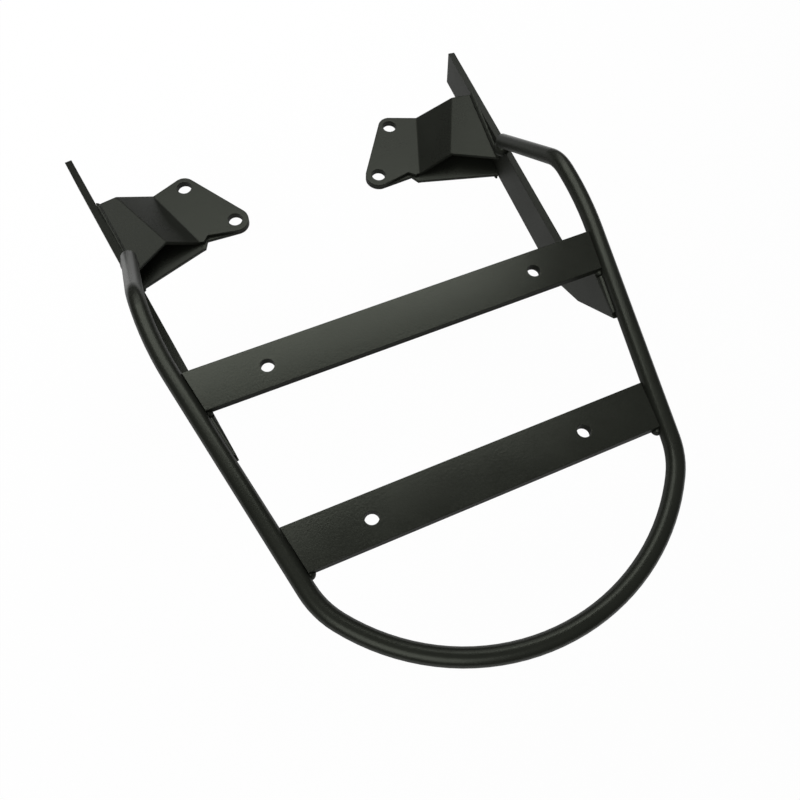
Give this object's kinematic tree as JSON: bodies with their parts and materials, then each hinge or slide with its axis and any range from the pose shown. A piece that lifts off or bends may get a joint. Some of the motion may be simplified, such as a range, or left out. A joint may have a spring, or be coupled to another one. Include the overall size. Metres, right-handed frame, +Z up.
{
  "type": "motorcycle luggage rack",
  "caption": "Welded rear luggage rack: a bent tube hoop with flat crossbars, side plates that drop forward, and folded mounting brackets.",
  "frame": {"origin": "middle of the front crossbar's bolt line, on the bar's top face", "axes": "+X to the right across the rack, +Y forward from the rear hoop to the mounting brackets, +Z up out of the crossbar's top face"},
  "size_m": [0.3768, 0.5267, 0.1359],
  "materials": {
    "tube_coat": "satin",
    "bar_coat": "satin",
    "plate_coat": "satin",
    "bracket_coat": "satin",
    "weld_coat": "satin"
  },
  "bodies": {
    "root": {"hoop_tube": "tube_coat", "front_crossbar": "bar_coat", "rear_crossbar": "bar_coat", "side_plate_left": "plate_coat", "side_plate_right": "plate_coat", "upper_bracket_left": "bracket_coat", "upper_bracket_right": "bracket_coat", "lower_bracket_left": "bracket_coat", "lower_bracket_right": "bracket_coat", "front_bar_weld_left": "weld_coat", "front_bar_weld_right": "weld_coat", "rear_bar_weld_left": "weld_coat", "rear_bar_weld_right": "weld_coat", "tube_foot_weld_left": "weld_coat", "tube_foot_weld_right": "weld_coat", "plate_tube_weld_left": "weld_coat", "plate_tube_weld_right": "weld_coat", "upper_bracket_weld_left": "weld_coat", "upper_bracket_weld_right": "weld_coat", "lower_bracket_weld_left": "weld_coat", "lower_bracket_weld_right": "weld_coat"}
  },
  "joints": []
}
